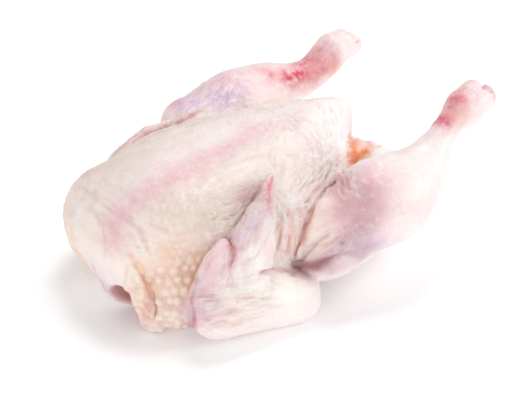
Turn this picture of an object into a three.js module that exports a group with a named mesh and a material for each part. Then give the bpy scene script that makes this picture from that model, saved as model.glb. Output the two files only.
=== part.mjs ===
import * as THREE from "three";
import { edgeTable, triTable } from "three/addons/objects/MarchingCubes.js";

// A plucked raw chicken lying on its back, in millimetres, as one closed body.
// The neck end points to -X, the tail and the legs to +X, and the breast is up.
// The bird's right side is at -Y and its left side at +Y.
// The body is a distance field of soft rounded forms, turned into a mesh of flat triangles.

// Driving dimensions
const breastHalfWidth = 36;
const breastHalfHeight = 38;
const keelRise = 68;
const thighRadius = 26;
const drumstickRadius = 26.5;
const hockRadius = 13;
const hockEndRadius = 11.5;
const ventRadius = 19;
const ventHeight = 45;
const neckHoleRadius = 12.5;
const tailHalfLength = 17;
const looseSkin = 4;
const foldThickness = 0.8;
const cellSize = 2.5;
const triangleTarget = 10800;

const skinColour = 0xeed5c9;
const skinRoughness = 0.45;

// The joints of each side: hip, knee and hock of the leg, and shoulder, elbow and wrist of the wing.
// The hand and the thumb are lines of points from the wrist to the tip, with a radius at each point.
const rightSide = {
  sign: -1,
  hip: [48, -36, 25],
  knee: [2, -60, 32],
  drumTop: [4, -60, 42],
  hock: [112, -61, 89],
  drumBow: [0, -6, -10.5],
  ankleBend: [-2, 0, 5],
  drumScale: 1,
  ankleRadius: 9.2,
  shoulder: [-62, -42, 30],
  elbow: [-26, -69, 11],
  wrist: [-70, -61, 19],
  forearmRadii: [13, 15.5],
  wingFace: [-0.05, -0.85, 0.5],
  hand: [[-58, -61, 28], [-53.5, -64, 43.5], [-49, -62.5, 53.5], [-42.7, -59.5, 63], [-36.2, -55.2, 68],
    [-31, -50.5, 72], [-24, -44.2, 76.5]],
  handRadii: [13, 13.5, 12.5, 9.5, 6.4, 4.4, 2.6],
  thumb: [[-76, -59, 16], [-79, -61, 31], [-76, -61.5, 42], [-73, -61, 48], [-68, -59, 53],
    [-65.5, -57.5, 56]],
  thumbRadii: [10, 9.5, 8.5, 7.3, 5, 2.8],
};
const leftSide = {
  sign: 1,
  hip: [46, 34, 28],
  knee: [-1, 56, 41],
  drumTop: [-4, 59, 60],
  hock: [113, 58, 86],
  drumBow: [0, 5, -7],
  ankleBend: [0, 0, -6],
  drumScale: 0.93,
  ankleRadius: 12.2,
  shoulder: [-62, 42, 30],
  elbow: [-26, 70, 22],
  wrist: [-74, 56, 38],
  forearmRadii: [13, 13.5],
  wingFace: [-0.25, 0.8, 0.5],
  hand: [[-75, 52, 47], [-59, 55, 58], [-39, 58, 66], [-20, 57, 71]],
  handRadii: [12, 9.5, 6, 2],
  thumb: [[-80, 55, 38], [-70, 60, 44], [-60, 63, 49]],
  thumbRadii: [10, 7, 3.5],
};
const sides = [rightSide, leftSide];

// Narrow creases in the skin: between breast and thigh, at the wrist, and beside the neck flap
const creases = [
  { radius: 2.8, line: [[32.5, -42, 59.5], [12, -56, 64.5], [5.7, -55.2, 62.8], [-5.8, -61.2, 61.7],
    [-13.7, -64.1, 55.1], [-19, -65.8, 46.5], [-22.7, -66.2, 39.2], [-23, -65.5, 32]] },
  { radius: 2.4, line: [[-53, -74, 41], [-46, -70, 38], [-38, -65, 33.5], [-31.7, -65.4, 30.7],
    [-27.7, -68.3, 29]] },
  { radius: 2.4, line: [[-104, -32, 45], [-101, -36.5, 37], [-98.5, -40, 29], [-98.5, -40, 20],
    [-98, -38, 8]] },
];

// Vectors as arrays of three numbers
const add = (a, b) => [a[0] + b[0], a[1] + b[1], a[2] + b[2]];
const sub = (a, b) => [a[0] - b[0], a[1] - b[1], a[2] - b[2]];
const scale = (a, s) => [a[0] * s, a[1] * s, a[2] * s];
const dot = (a, b) => a[0] * b[0] + a[1] * b[1] + a[2] * b[2];
const cross = (a, b) => [a[1] * b[2] - a[2] * b[1], a[2] * b[0] - a[0] * b[2], a[0] * b[1] - a[1] * b[0]];
const size = (a) => Math.hypot(a[0], a[1], a[2]);
const unit = (a) => scale(a, 1 / size(a));
const clamp01 = (t) => Math.min(Math.max(t, 0), 1);

// Smooth minimum and maximum: forms flow into each other over the given softness
function smoothMin(a, b, softness) {
  const h = Math.max(softness - Math.abs(a - b), 0) / softness;
  return Math.min(a, b) - (h * h * softness) / 4;
}
const smoothMax = (a, b, softness) => -smoothMin(-a, -b, softness);
const blend = (softness, ...fields) => (p) =>
  fields.slice(1).reduce((d, field) => smoothMin(d, field(p), softness), fields[0](p));
const carve = (softness, field, tool) => (p) => smoothMax(field(p), -tool(p), softness);
const trim = (softness, field, limit) => (p) => smoothMax(field(p), limit(p), softness);

// An ellipsoid turned about Z by turn degrees and tipped about its own Y by tip degrees
function ellipsoid(centre, radii, turn = 0, tip = 0) {
  const [ct, st] = [Math.cos(THREE.MathUtils.degToRad(turn)), Math.sin(THREE.MathUtils.degToRad(turn))];
  const [cp, sp] = [Math.cos(THREE.MathUtils.degToRad(tip)), Math.sin(THREE.MathUtils.degToRad(tip))];
  const axes = [[ct * cp, st * cp, -sp], [-st, ct, 0], [ct * sp, st * sp, cp]];
  return (p) => {
    const q = sub(p, centre);
    const a = axes.map((axis, i) => dot(q, axis) / radii[i]);
    const k0 = size(a);
    const k1 = size(a.map((value, i) => value / radii[i]));
    return (k0 * (k0 - 1)) / Math.max(k1, 1e-6);
  };
}

// A rounded rod from one point to another, with a radius at each end
function capsule(from, to, fromRadius, toRadius) {
  const axis = sub(to, from);
  const axisSquared = dot(axis, axis);
  return (p) => {
    const q = sub(p, from);
    const t = clamp01(dot(q, axis) / axisSquared);
    return size(sub(q, scale(axis, t))) - (fromRadius + (toRadius - fromRadius) * t);
  };
}

// A rod pressed flat along a normal, for wings and flaps of skin
function paddle(from, to, fromRadius, toRadius, normal, flatness) {
  const n = unit(normal);
  const stretched = add(to, scale(n, dot(sub(to, from), n) * (flatness - 1)));
  const rod = capsule(from, stretched, fromRadius, toRadius);
  return (p) => rod(add(p, scale(n, dot(sub(p, from), n) * (flatness - 1)))) / (0.5 + 0.5 * flatness);
}

// A bowed limb that bends again near its far end, and whose radius changes smoothly from station to station
function limb(from, to, bow, ankleBend, stations, radii) {
  const axis = sub(to, from);
  const axisSquared = dot(axis, axis);
  const fieldSlope = 0.93;
  const bendStart = 0.55;
  return (p) => {
    const t = clamp01(dot(sub(p, from), axis) / axisSquared);
    const late = Math.sin(Math.PI * clamp01((t - bendStart) / (1 - bendStart))) ** 2;
    const bowed = add(add(from, scale(axis, t)), scale(bow, Math.sin(Math.PI * t)));
    const centre = add(bowed, scale(ankleBend, late));
    let radius = radii[0];
    for (let i = 0; i + 1 < stations.length; i += 1) {
      const u = clamp01((t - stations[i]) / (stations[i + 1] - stations[i]));
      radius += (radii[i + 1] - radii[i]) * u * u * (3 - 2 * u);
    }
    return (size(sub(p, centre)) - radius) * fieldSlope;
  };
}

// Two breast muscles, each a deep front part and a slimmer rear part, joined by the keel.
// Seen from above, the rear edge runs back to a blunt point at the keel.
function breast() {
  const muscle = (sign) => blend(18,
    ellipsoid([-45, sign * 23, 42], [65, breastHalfWidth, breastHalfHeight], sign * 9),
    ellipsoid([12, sign * 16, 46], [70, 31, breastHalfHeight - 1.5], sign * -6));
  const keel = capsule([-66, 0, keelRise - 12], [60, 0, keelRise], 15, 13);
  const muscles = blend(26, muscle(-1), muscle(1));
  const rearEdge = (p) => (p[0] - 70.5) * 0.68 + (Math.hypot(p[1], 6) - 6) * 0.73;
  return trim(4, blend(14, muscles, keel), rearEdge);
}

// Back, hips, shoulders and the skin round the neck, with the tail behind
function trunk() {
  const upper = blend(16, breast(), ellipsoid([-8, 0, 27], [88, 50, 30]));
  const hips = ellipsoid([54, 0, 26], [42, 39, 26]);
  const collar = ellipsoid([-60, -4, 14], [44, 40, 20]);
  const shoulders = sides.map(({ sign }) => ellipsoid([-70, sign * 31, 19], [30, 27, 22]));
  const leftShoulder = ellipsoid([-80, 38, 36], [25, 24, 28]);
  const tail = ellipsoid([98, 0, 15], [tailHalfLength, 13, 8.5], 0, -18);
  return blend(8, blend(10, blend(12, upper, hips, collar), ...shoulders, leftShoulder), tail);
}

// A thigh and a drumstick, ending in the two knuckles of the cut hock
function leg({ hip, knee, drumTop, hock, drumBow, ankleBend, drumScale, ankleRadius }) {
  const thigh = capsule(hip, knee, thighRadius, thighRadius - 5);
  const radii = [22, drumstickRadius, ankleRadius, hockRadius, hockEndRadius].map((r) => r * drumScale);
  const drumstick = limb(drumTop, hock, drumBow, ankleBend, [0, 0.3, 0.8, 0.94, 1], radii);
  const along = unit(sub(hock, drumTop));
  const across = unit(cross(along, [0, 0, 1]));
  const knuckles = [-5.5, 5.5].map((offset) =>
    ellipsoid(add(add(hock, scale(along, 6)), scale(across, offset)), [7, 6, 8]));
  return blend(3, blend(9, thigh, drumstick), ...knuckles);
}

// Skin stretched between the wings and the legs, drawn into upright folds on the right side,
// and the hollow under it beside the right forearm
function sideSkin(body) {
  const webs = blend(6, ellipsoid([-22, -54, 40], [14, 9, 23]), ellipsoid([-42, 50, 40], [30, 11, 20]));
  const folds = [
    capsule([-13.5, -57, 60], [-20, -63, 38], 2.5, 3.5),
    capsule([-21, -55.5, 61], [-22, -61, 36], 2.5, 3),
  ];
  const hollow = ellipsoid([-10, -83, 29], [19, 11, 8]);
  return carve(6, blend(looseSkin, blend(6, body, webs), ...folds), hollow);
}

// Flattened rods end to end through the given points, thickened a little where they thin out
function blade(points, radii, normal, flatness, softness) {
  const rods = blend(softness, ...points.slice(1).map((point, i) =>
    paddle(points[i], point, radii[i], radii[i + 1], normal, flatness)));
  return (p) => rods(p) - foldThickness;
}

// A folded wing on a body: upper arm, forearm, the flat hand and the thumb, each growing out of the forearm
function wing(body, side) {
  const { sign, shoulder, elbow, wrist, forearmRadii, wingFace, hand, handRadii, thumb, thumbRadii } = side;
  const upperArm = capsule(shoulder, add(elbow, [4, -sign * 3, 4]), 16, 12);
  const forearm = capsule(elbow, wrist, ...forearmRadii);
  const withArm = blend(3, body, blend(6, upperArm, forearm));
  const withHand = blend(1.5, withArm, blend(9, blade(hand, handRadii, wingFace, 2, 1), forearm));
  return blend(1.2, withHand, blend(7, blade(thumb, thumbRadii, wingFace, 1.4, 1), forearm));
}

// The opening under the tail end of the breast, an upright oval, with pads of fat beside it
// and lobes of skin that hang round it
function vent(body) {
  const narrowing = 0.82;
  const bore = capsule([22, 0, ventHeight - 1], [110, 0, ventHeight], ventRadius - 4, ventRadius);
  const oval = (p) => bore([p[0], p[1] * narrowing, p[2]]);
  const pads = [ellipsoid([52, -25, 57], [15, 8, 8]), ellipsoid([54, 25, 55], [15, 8, 8])];
  const lobes = [
    blade([[60, -28, 53], [91, -14, 42]], [9, 4.5], [0.1, -0.5, 0.85], 3, 1),
    blade([[63, -19, 57], [80, -12, 51]], [5, 3], [0, -0.9, 0.4], 2, 1),
    blade([[66, -17, 36], [90, -14, 40]], [9, 4], [-0.1, -0.8, 0.5], 2.4, 1),
    blade([[64, 25, 50], [94, 13, 36]], [9, 5], [0, 0.7, 0.6], 2.4, 1),
    blade([[84, -2, 25], [99, 3, 34]], [12, 6], [-0.6, 0, 0.8], 2.6, 1),
  ];
  return blend(3, carve(3, blend(looseSkin, body, ...pads), oval), ...lobes);
}

// The hole where the neck was cut out, and the flap of neck skin beside it
function neck(body) {
  const hole = capsule([-70, -6, 14], [-108, -17, 9], neckHoleRadius - 3.5, neckHoleRadius);
  const flapLine = [[-104, -29, 45], [-100.5, -32, 30], [-97, -33, 9]];
  const flap = blade(flapLine, [3, 7.5, 8.5], [-0.85, -0.5, 0.1], 3, 2);
  return blend(2.5, carve(looseSkin, body, hole), flap);
}

// Creases cut into a body along their lines
function creased(body) {
  const grooves = creases.map(({ radius, line }) =>
    blend(1, ...line.slice(1).map((point, i) => capsule(line[i], point, radius, radius))));
  return grooves.reduce((field, groove) => carve(3, field, groove), body);
}

// The whole bird, cut level where it rests
function bird() {
  const legged = sideSkin(blend(5, trunk(), ...sides.map(leg)));
  const whole = creased(neck(vent(sides.reduce(wing, legged))));
  return (p) => Math.max(whole(p), -p[2]);
}

// The grid that the field is sampled on: its lower corner and its number of cells each way
const gridOrigin = [-129.5, -101.5, -1.35];
const gridCells = [107, 80, 44];

// Corner offsets of a cell, and the pair of corners that each of its edges joins
const corners = [[0, 0, 0], [1, 0, 0], [1, 1, 0], [0, 1, 0], [0, 0, 1], [1, 0, 1], [1, 1, 1], [0, 1, 1]];
const cellEdges = [[0, 1], [1, 2], [2, 3], [3, 0], [4, 5], [5, 6], [6, 7], [7, 4],
  [0, 4], [1, 5], [2, 6], [3, 7]];

// The zero surface of a field as points and triangles, neighbouring cells sharing their points
function surfaceOf(field) {
  const [nx, ny, nz] = gridCells.map((n) => n + 1);
  const indexOf = (x, y, z) => x + nx * (y + ny * z);
  const place = (i) => [i % nx, Math.floor(i / nx) % ny, Math.floor(i / (nx * ny))]
    .map((n, axis) => gridOrigin[axis] + n * cellSize);
  const values = Float64Array.from({ length: nx * ny * nz }, (_, i) => field(place(i)));
  const points = [];
  const faces = [];
  const pointOnEdge = new Map();
  const crossing = (a, b) => {
    const [low, high] = a < b ? [a, b] : [b, a];
    const key = low * values.length + high;
    if (!pointOnEdge.has(key)) {
      const t = values[low] / (values[low] - values[high]);
      pointOnEdge.set(key, points.length);
      points.push(add(scale(place(low), 1 - t), scale(place(high), t)));
    }
    return pointOnEdge.get(key);
  };
  for (let z = 0; z < gridCells[2]; z += 1) {
    for (let y = 0; y < gridCells[1]; y += 1) {
      for (let x = 0; x < gridCells[0]; x += 1) {
        const cell = corners.map(([dx, dy, dz]) => indexOf(x + dx, y + dy, z + dz));
        const inside = cell.reduce((bits, i, corner) => bits | (values[i] < 0 ? 1 << corner : 0), 0);
        if (edgeTable[inside] === 0) continue;
        for (let t = inside * 16; triTable[t] !== -1; t += 3) {
          const face = [0, 2, 1].map((k) => crossing(...cellEdges[triTable[t + k]].map((c) => cell[c])));
          faces.push(face);
        }
      }
    }
  }
  return { points, faces };
}

// Sum of squared distances to planes, kept as the ten numbers of a symmetric matrix
function addPlane(quadric, n, offset, weight) {
  const v = [...n, offset];
  let k = 0;
  for (let i = 0; i < 4; i += 1) {
    for (let j = i; j < 4; j += 1) {
      quadric[k] += weight * v[i] * v[j];
      k += 1;
    }
  }
}

function quadricCost(q, [x, y, z]) {
  return q[0] * x * x + q[4] * y * y + q[7] * z * z + q[9]
    + 2 * (q[1] * x * y + q[2] * x * z + q[5] * y * z + q[3] * x + q[6] * y + q[8] * z);
}

// The point with the least cost for the joined ends of an edge, or else the middle of the edge
function bestPoint(q, a, b) {
  const middle = scale(add(a, b), 0.5);
  const rows = [[q[0], q[1], q[2]], [q[1], q[4], q[5]], [q[2], q[5], q[7]]];
  const right = [-q[3], -q[6], -q[8]];
  const [r0, r1, r2] = rows;
  const determinant = dot(r0, cross(r1, r2));
  if (Math.abs(determinant) < 1e-9) return middle;
  const solved = scale(add(add(scale(cross(r1, r2), right[0]), scale(cross(r2, r0), right[1])),
    scale(cross(r0, r1), right[2])), 1 / determinant);
  return size(sub(solved, middle)) < size(sub(a, b)) ? solved : middle;
}

// Shortest edges and flattest places are joined first, until the mesh has few enough triangles
function simplify({ points, faces }, target) {
  const steadiness = 0.002;
  const baseWeight = 300;
  const share = 0.2;
  const sliver = 0.08;
  const quadrics = points.map(() => new Float64Array(10));
  const normalOf = (a, b, c) => cross(sub(b, a), sub(c, a));
  for (const face of faces) {
    const [a, b, c] = face.map((i) => points[i]);
    const n = normalOf(a, b, c);
    const area = size(n);
    if (area < 1e-9) continue;
    const direction = scale(n, 1 / area);
    const onBase = Math.max(a[2], b[2], c[2]) < 1e-6;
    for (const i of face) {
      addPlane(quadrics[i], direction, -dot(direction, a), onBase ? area * baseWeight : area);
      [[1, 0, 0], [0, 1, 0], [0, 0, 1]].forEach((axis, k) =>
        addPlane(quadrics[i], axis, -points[i][k], area * steadiness));
    }
  }
  let stuck = false;
  while (faces.length > target && !stuck) {
    const around = points.map(() => new Set());
    const facesOf = points.map(() => []);
    for (const face of faces) {
      face.forEach((v, k) => {
        facesOf[v].push(face);
        around[v].add(face[(k + 1) % 3]).add(face[(k + 2) % 3]);
      });
    }
    const edges = [];
    around.forEach((others, a) => {
      for (const b of others) {
        if (b < a) continue;
        const quadric = quadrics[a].map((value, i) => value + quadrics[b][i]);
        const at = bestPoint(quadric, points[a], points[b]);
        edges.push({ a, b, at, quadric, cost: quadricCost(quadric, at) });
      }
    });
    edges.sort((e, f) => e.cost - f.cost);
    const staysUpright = (v, other, at) => facesOf[v].every((face) => {
      if (face.includes(other)) return true;
      const before = normalOf(...face.map((i) => points[i]));
      const after = normalOf(...face.map((i) => (i === v ? at : points[i])));
      const alike = dot(before, after) > 0.35 * size(before) * size(after);
      return size(before) < sliver || (alike && size(after) > sliver);
    });
    const touched = new Set();
    const joinedTo = new Map();
    let left = faces.length;
    for (const { a, b, at, quadric } of edges.slice(0, Math.ceil(edges.length * share))) {
      if (left <= target) break;
      if (touched.has(a) || touched.has(b)) continue;
      if ([...around[a]].filter((v) => around[b].has(v)).length !== 2) continue;
      if (!staysUpright(a, b, at) || !staysUpright(b, a, at)) continue;
      [a, b, ...around[a], ...around[b]].forEach((v) => touched.add(v));
      joinedTo.set(b, a);
      points[a] = at;
      quadrics[a] = quadric;
      left -= 2;
    }
    stuck = joinedTo.size === 0;
    faces = faces.map((face) => face.map((v) => joinedTo.get(v) ?? v))
      .filter(([a, b, c]) => a !== b && b !== c && c !== a);
  }
  return { points, faces };
}

// Points within a tolerance of the resting plane are set on it exactly
const settle = ({ points, faces }, tolerance) =>
  ({ points: points.map(([x, y, z]) => [x, y, z < tolerance ? 0 : z]), faces });

// The geometry of the points in use, with its origin under the middle of its bounding box
function geometryOf({ points, faces }) {
  const used = [...new Set(faces.flat())];
  const place = new Map(used.map((v, i) => [v, i]));
  const geometry = new THREE.BufferGeometry();
  geometry.setAttribute("position", new THREE.Float32BufferAttribute(used.flatMap((v) => points[v]), 3));
  geometry.setIndex(faces.flat().map((v) => place.get(v)));
  geometry.computeBoundingBox();
  const middle = geometry.boundingBox.getCenter(new THREE.Vector3());
  geometry.translate(-middle.x, -middle.y, -geometry.boundingBox.min.z);
  geometry.computeVertexNormals();
  return geometry;
}

const skin = new THREE.MeshStandardMaterial({ color: skinColour, roughness: skinRoughness, metalness: 0 });
const surface = settle(surfaceOf(bird()), 0.3);
const chicken = new THREE.Mesh(geometryOf(settle(simplify(surface, triangleTarget), 0.05)), skin);
chicken.name = "chicken";

const group = new THREE.Group();
group.add(chicken);
export default group;
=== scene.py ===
import math

import bpy
import numpy as np
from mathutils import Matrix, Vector


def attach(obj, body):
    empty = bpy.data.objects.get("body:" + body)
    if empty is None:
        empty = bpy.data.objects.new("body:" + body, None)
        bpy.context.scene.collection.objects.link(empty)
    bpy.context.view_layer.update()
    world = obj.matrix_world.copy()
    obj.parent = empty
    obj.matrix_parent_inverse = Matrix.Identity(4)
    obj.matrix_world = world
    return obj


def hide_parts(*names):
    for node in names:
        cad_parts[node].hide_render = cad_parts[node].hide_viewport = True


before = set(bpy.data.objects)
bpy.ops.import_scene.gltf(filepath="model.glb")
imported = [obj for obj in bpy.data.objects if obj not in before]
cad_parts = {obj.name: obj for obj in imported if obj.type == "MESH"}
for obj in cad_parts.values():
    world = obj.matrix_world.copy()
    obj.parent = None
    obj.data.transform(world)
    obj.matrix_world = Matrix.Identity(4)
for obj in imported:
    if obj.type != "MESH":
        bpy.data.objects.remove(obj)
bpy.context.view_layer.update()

# A plucked raw chicken on its back: the fine skin over the solid, then its colours, the floor and the light.
# Shapes are written in millimetres, with the neck to -X, the tail to +X, the bird's right side to -Y
# and the breast up.
MM = 0.001
CELL = 1.75
GRID_LOW = (-129.6, -101.6, -1.7)
GRID_HIGH = (134.0, 96.0, 108.0)

BREAST_HALF_WIDTH = 36
BREAST_HALF_HEIGHT = 38
KEEL_RISE = 68
THIGH_RADIUS = 26
DRUMSTICK_RADIUS = 26.5
HOCK_RADIUS = 13
HOCK_END_RADIUS = 11.5
VENT_RADIUS = 19
VENT_HEIGHT = 45
VENT_START_X = 22
VENT_END_X = 110
VENT_WIDENING = 0.82
NECK_HOLE_RADIUS = 12.5
NECK_HOLE_LINE = ((-70, -6, 14), (-108, -17, 9))
HAND_FLATNESS = 2
THUMB_FLATNESS = 1.4

RIGHT = dict(
    sign=-1, hip=(48, -36, 25), knee=(2, -60, 32), drum_top=(4, -60, 42), hock=(112, -61, 89),
    bow=(0, -6, -10.5), ankle_bend=(-2, 0, 5), drum_scale=1.0, ankle=9.2,
    shoulder=(-62, -42, 30), elbow=(-26, -69, 11), wrist=(-70, -61, 19),
    forearm=(13, 15.5), face=(-0.05, -0.85, 0.5),
    hand=((-58, -61, 28), (-53.5, -64, 43.5), (-49, -62.5, 53.5), (-42.7, -59.5, 63), (-36.2, -55.2, 68),
          (-31, -50.5, 72), (-24, -44.2, 76.5)),
    hand_radii=(13, 13.5, 12.5, 9.5, 6.4, 4.4, 2.6),
    thumb=((-76, -59, 16), (-79, -61, 31), (-76, -61.5, 42), (-73, -61, 48), (-68, -59, 53),
           (-65.5, -57.5, 56)),
    thumb_radii=(10, 9.5, 8.5, 7.3, 5, 2.8))
LEFT = dict(
    sign=1, hip=(46, 34, 28), knee=(-1, 56, 41), drum_top=(-4, 59, 60), hock=(113, 58, 86),
    bow=(0, 5, -7), ankle_bend=(0, 0, -6), drum_scale=0.93, ankle=12.2,
    shoulder=(-62, 42, 30), elbow=(-26, 70, 22), wrist=(-74, 56, 38),
    forearm=(13, 13.5), face=(-0.25, 0.8, 0.5),
    hand=((-75, 52, 47), (-59, 55, 58), (-39, 58, 66), (-20, 57, 71)), hand_radii=(12, 9.5, 6, 2),
    thumb=((-80, 55, 38), (-70, 60, 44), (-60, 63, 49)), thumb_radii=(10, 7, 3.5))
SIDES = (RIGHT, LEFT)

# Narrow creases in the skin, each a radius and a line: between breast and thigh, at the wrist,
# and beside the neck flap
CREASES = (
    (1.35, ((32.5, -42, 59.5), (12, -56, 64.5), (5.7, -55.2, 62.8), (-5.8, -61.2, 61.7), (-13.7, -64.1, 55.1),
           (-19, -65.8, 46.5), (-22.7, -66.2, 39.2), (-23, -65.5, 32))),
    (1.6, ((-53, -74, 41), (-46, -70, 38), (-38, -65, 33.5), (-31.7, -65.4, 30.7), (-27.7, -68.3, 29))),
    (1.8, ((-104, -32, 45), (-101, -36.5, 37), (-98.5, -40, 29), (-98.5, -40, 20), (-98, -38, 8))))


# Distance fields: arrays of points in, signed distances out
def vec(v):
    return np.array(v, dtype=np.float32)


def unit(v):
    v = np.array(v, dtype=float)
    return v / np.linalg.norm(v)


def smooth_min(a, b, softness):
    h = np.maximum(softness - np.abs(a - b), 0) / softness
    return np.minimum(a, b) - h * h * softness / 4


def smooth_max(a, b, softness):
    return -smooth_min(-a, -b, softness)


def blend(softness, *fields):
    d = fields[0]
    for other in fields[1:]:
        d = smooth_min(d, other, softness)
    return d


def ramp(x, low, high):
    t = np.clip((x - low) / (high - low), 0, 1)
    return t * t * (3 - 2 * t)


def ellipsoid(P, centre, radii, turn=0, tip=0):
    ct, st = math.cos(math.radians(turn)), math.sin(math.radians(turn))
    cp, sp = math.cos(math.radians(tip)), math.sin(math.radians(tip))
    axes = vec([(ct * cp, st * cp, -sp), (-st, ct, 0), (ct * sp, st * sp, cp)])
    a = ((P - vec(centre)) @ axes.T) / vec(radii)
    k0 = np.sqrt((a * a).sum(-1))
    b = a / vec(radii)
    k1 = np.sqrt((b * b).sum(-1))
    return k0 * (k0 - 1) / np.maximum(k1, 1e-6)


def capsule(P, start, end, start_radius, end_radius):
    a = vec(start)
    axis = vec(end) - a
    t = np.clip(((P - a) @ axis) / float(axis @ axis), 0, 1)
    away = P - a - t[..., None] * axis
    return np.sqrt((away * away).sum(-1)) - (start_radius + (end_radius - start_radius) * t)


# A rod pressed flat along a normal, for wings and flaps of skin
def paddle(P, start, end, start_radius, end_radius, normal, flatness):
    n = vec(unit(normal))
    a = vec(start)
    stretched = vec(end) + n * float((vec(end) - a) @ n) * (flatness - 1)
    Q = P + ((P - a) @ n)[..., None] * n * (flatness - 1)
    return capsule(Q, a, stretched, start_radius, end_radius) / (0.5 + 0.5 * flatness)


# A bowed limb with a second bend near its far end, whose radius changes smoothly from station to station
def limb(P, start, end, bow, ankle_bend, stations, radii):
    a = vec(start)
    axis = vec(end) - a
    t = np.clip(((P - a) @ axis) / float(axis @ axis), 0, 1)
    late = np.sin(np.pi * np.clip((t - 0.55) / 0.45, 0, 1)) ** 2
    centre = a + t[..., None] * axis + np.sin(np.pi * t)[..., None] * vec(bow)
    centre = centre + late[..., None] * vec(ankle_bend)
    radius = np.full(t.shape, radii[0], dtype=np.float32)
    for i in range(len(stations) - 1):
        radius = radius + (radii[i + 1] - radii[i]) * ramp(t, stations[i], stations[i + 1])
    away = P - centre
    return (np.sqrt((away * away).sum(-1)) - radius) * 0.93


def breast(P):
    muscles = []
    for sign in (-1, 1):
        front = ellipsoid(P, (-45, sign * 23, 42), (65, BREAST_HALF_WIDTH, BREAST_HALF_HEIGHT), sign * 9)
        rear = ellipsoid(P, (12, sign * 16, 46), (70, 31, BREAST_HALF_HEIGHT - 1.5), sign * -6)
        muscles.append(smooth_min(front, rear, 18))
    keel = capsule(P, (-66, 0, KEEL_RISE - 12), (60, 0, KEEL_RISE), 15, 13)
    rear_edge = (P[..., 0] - 70.5) * 0.68 + (np.sqrt(P[..., 1] ** 2 + 36) - 6) * 0.73
    return smooth_max(blend(14, blend(26, *muscles), keel), rear_edge, 4)


def trunk(P):
    upper = blend(16, breast(P), ellipsoid(P, (-8, 0, 27), (88, 50, 30)))
    hips = ellipsoid(P, (54, 0, 26), (42, 39, 26))
    collar = ellipsoid(P, (-60, -4, 14), (44, 40, 20))
    shoulders = [ellipsoid(P, (-70, side["sign"] * 31, 19), (30, 27, 22)) for side in SIDES]
    far_shoulder = ellipsoid(P, (-80, 38, 36), (25, 24, 28))
    tail = ellipsoid(P, (98, 0, 15), (17, 13, 8.5), 0, -18)
    return blend(8, blend(10, blend(12, upper, hips, collar), *shoulders, far_shoulder), tail)


def leg(P, side):
    thigh = capsule(P, side["hip"], side["knee"], THIGH_RADIUS, THIGH_RADIUS - 5)
    radii = (22, DRUMSTICK_RADIUS, side["ankle"], HOCK_RADIUS, HOCK_END_RADIUS)
    radii = [radius * side["drum_scale"] for radius in radii]
    stations = (0, 0.3, 0.8, 0.94, 1)
    drumstick = limb(P, side["drum_top"], side["hock"], side["bow"], side["ankle_bend"], stations, radii)
    along = unit(np.subtract(side["hock"], side["drum_top"]))
    across = unit(np.cross(along, (0, 0, 1)))
    knuckles = [ellipsoid(P, side["hock"] + along * 6 + across * offset, (7, 6, 8)) for offset in (-5.5, 5.5)]
    return blend(3, blend(9, thigh, drumstick), *knuckles)


# Flattened rods end to end through the given points
def blade(P, points, radii, normal, flatness, softness):
    parts = [paddle(P, points[i], points[i + 1], radii[i], radii[i + 1], normal, flatness)
             for i in range(len(points) - 1)]
    return blend(softness, *parts)


# The parts of a wing that lie outside the body
def wing_parts(P, side):
    forearm = capsule(P, side["elbow"], side["wrist"], *side["forearm"])
    hand = blade(P, side["hand"], side["hand_radii"], side["face"], HAND_FLATNESS, 1)
    thumb = blade(P, side["thumb"], side["thumb_radii"], side["face"], THUMB_FLATNESS, 1)
    return forearm, hand, thumb


def folded_wing(P, side):
    forearm, hand, thumb = wing_parts(P, side)
    return np.minimum(np.minimum(hand, thumb), forearm)


def wing(P, d, side):
    upper_end = np.add(side["elbow"], (4, -side["sign"] * 3, 4))
    upper_arm = capsule(P, side["shoulder"], upper_end, 16, 12)
    forearm, hand, thumb = wing_parts(P, side)
    d = blend(3, d, blend(6, upper_arm, forearm))
    d = smooth_min(d, smooth_min(hand, forearm, 9), 1.5)
    return smooth_min(d, smooth_min(thumb, forearm, 7), 1.2)


# The skin stretched between wing and leg, its upright folds, and the hollow below
def side_skin(P, d):
    d = blend(6, d, blend(6, ellipsoid(P, (-22, -54, 40), (14, 9, 23)),
                          ellipsoid(P, (-42, 50, 40), (30, 11, 20))))
    d = blend(4, d, capsule(P, (-13.5, -57, 60), (-20, -63, 38), 2.5, 3.5),
              capsule(P, (-21, -55.5, 61), (-22, -61, 36), 2.5, 3))
    hollow = ellipsoid(P, (-10, -83, 29), (19, 11, 8))
    return smooth_max(d, -hollow, 6)


def vent_bore(P):
    start = (VENT_START_X, 0, VENT_HEIGHT - 1)
    end = (VENT_END_X, 0, VENT_HEIGHT)
    return capsule(P * vec((1, VENT_WIDENING, 1)), start, end, VENT_RADIUS - 4, VENT_RADIUS)


# The open vent, with pads of fat in its corners and lobes of skin round it
def vent(P, d):
    pads = [ellipsoid(P, (52, -25, 57), (15, 8, 8)), ellipsoid(P, (54, 25, 55), (15, 8, 8))]
    flaps = [
        paddle(P, (60, -28, 53), (91, -14, 42), 9, 4.5, (0.1, -0.5, 0.85), 3),
        paddle(P, (63, -19, 57), (80, -12, 51), 5, 3, (0, -0.9, 0.4), 2),
        paddle(P, (66, -17, 36), (90, -14, 40), 9, 4, (-0.1, -0.8, 0.5), 2.4),
        paddle(P, (64, 25, 50), (94, 13, 36), 9, 5, (0, 0.7, 0.6), 2.4),
        paddle(P, (84, -2, 25), (99, 3, 34), 12, 6, (-0.6, 0, 0.8), 2.6)]
    return blend(3, smooth_max(blend(4, d, *pads), -vent_bore(P), 3), *flaps)


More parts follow.
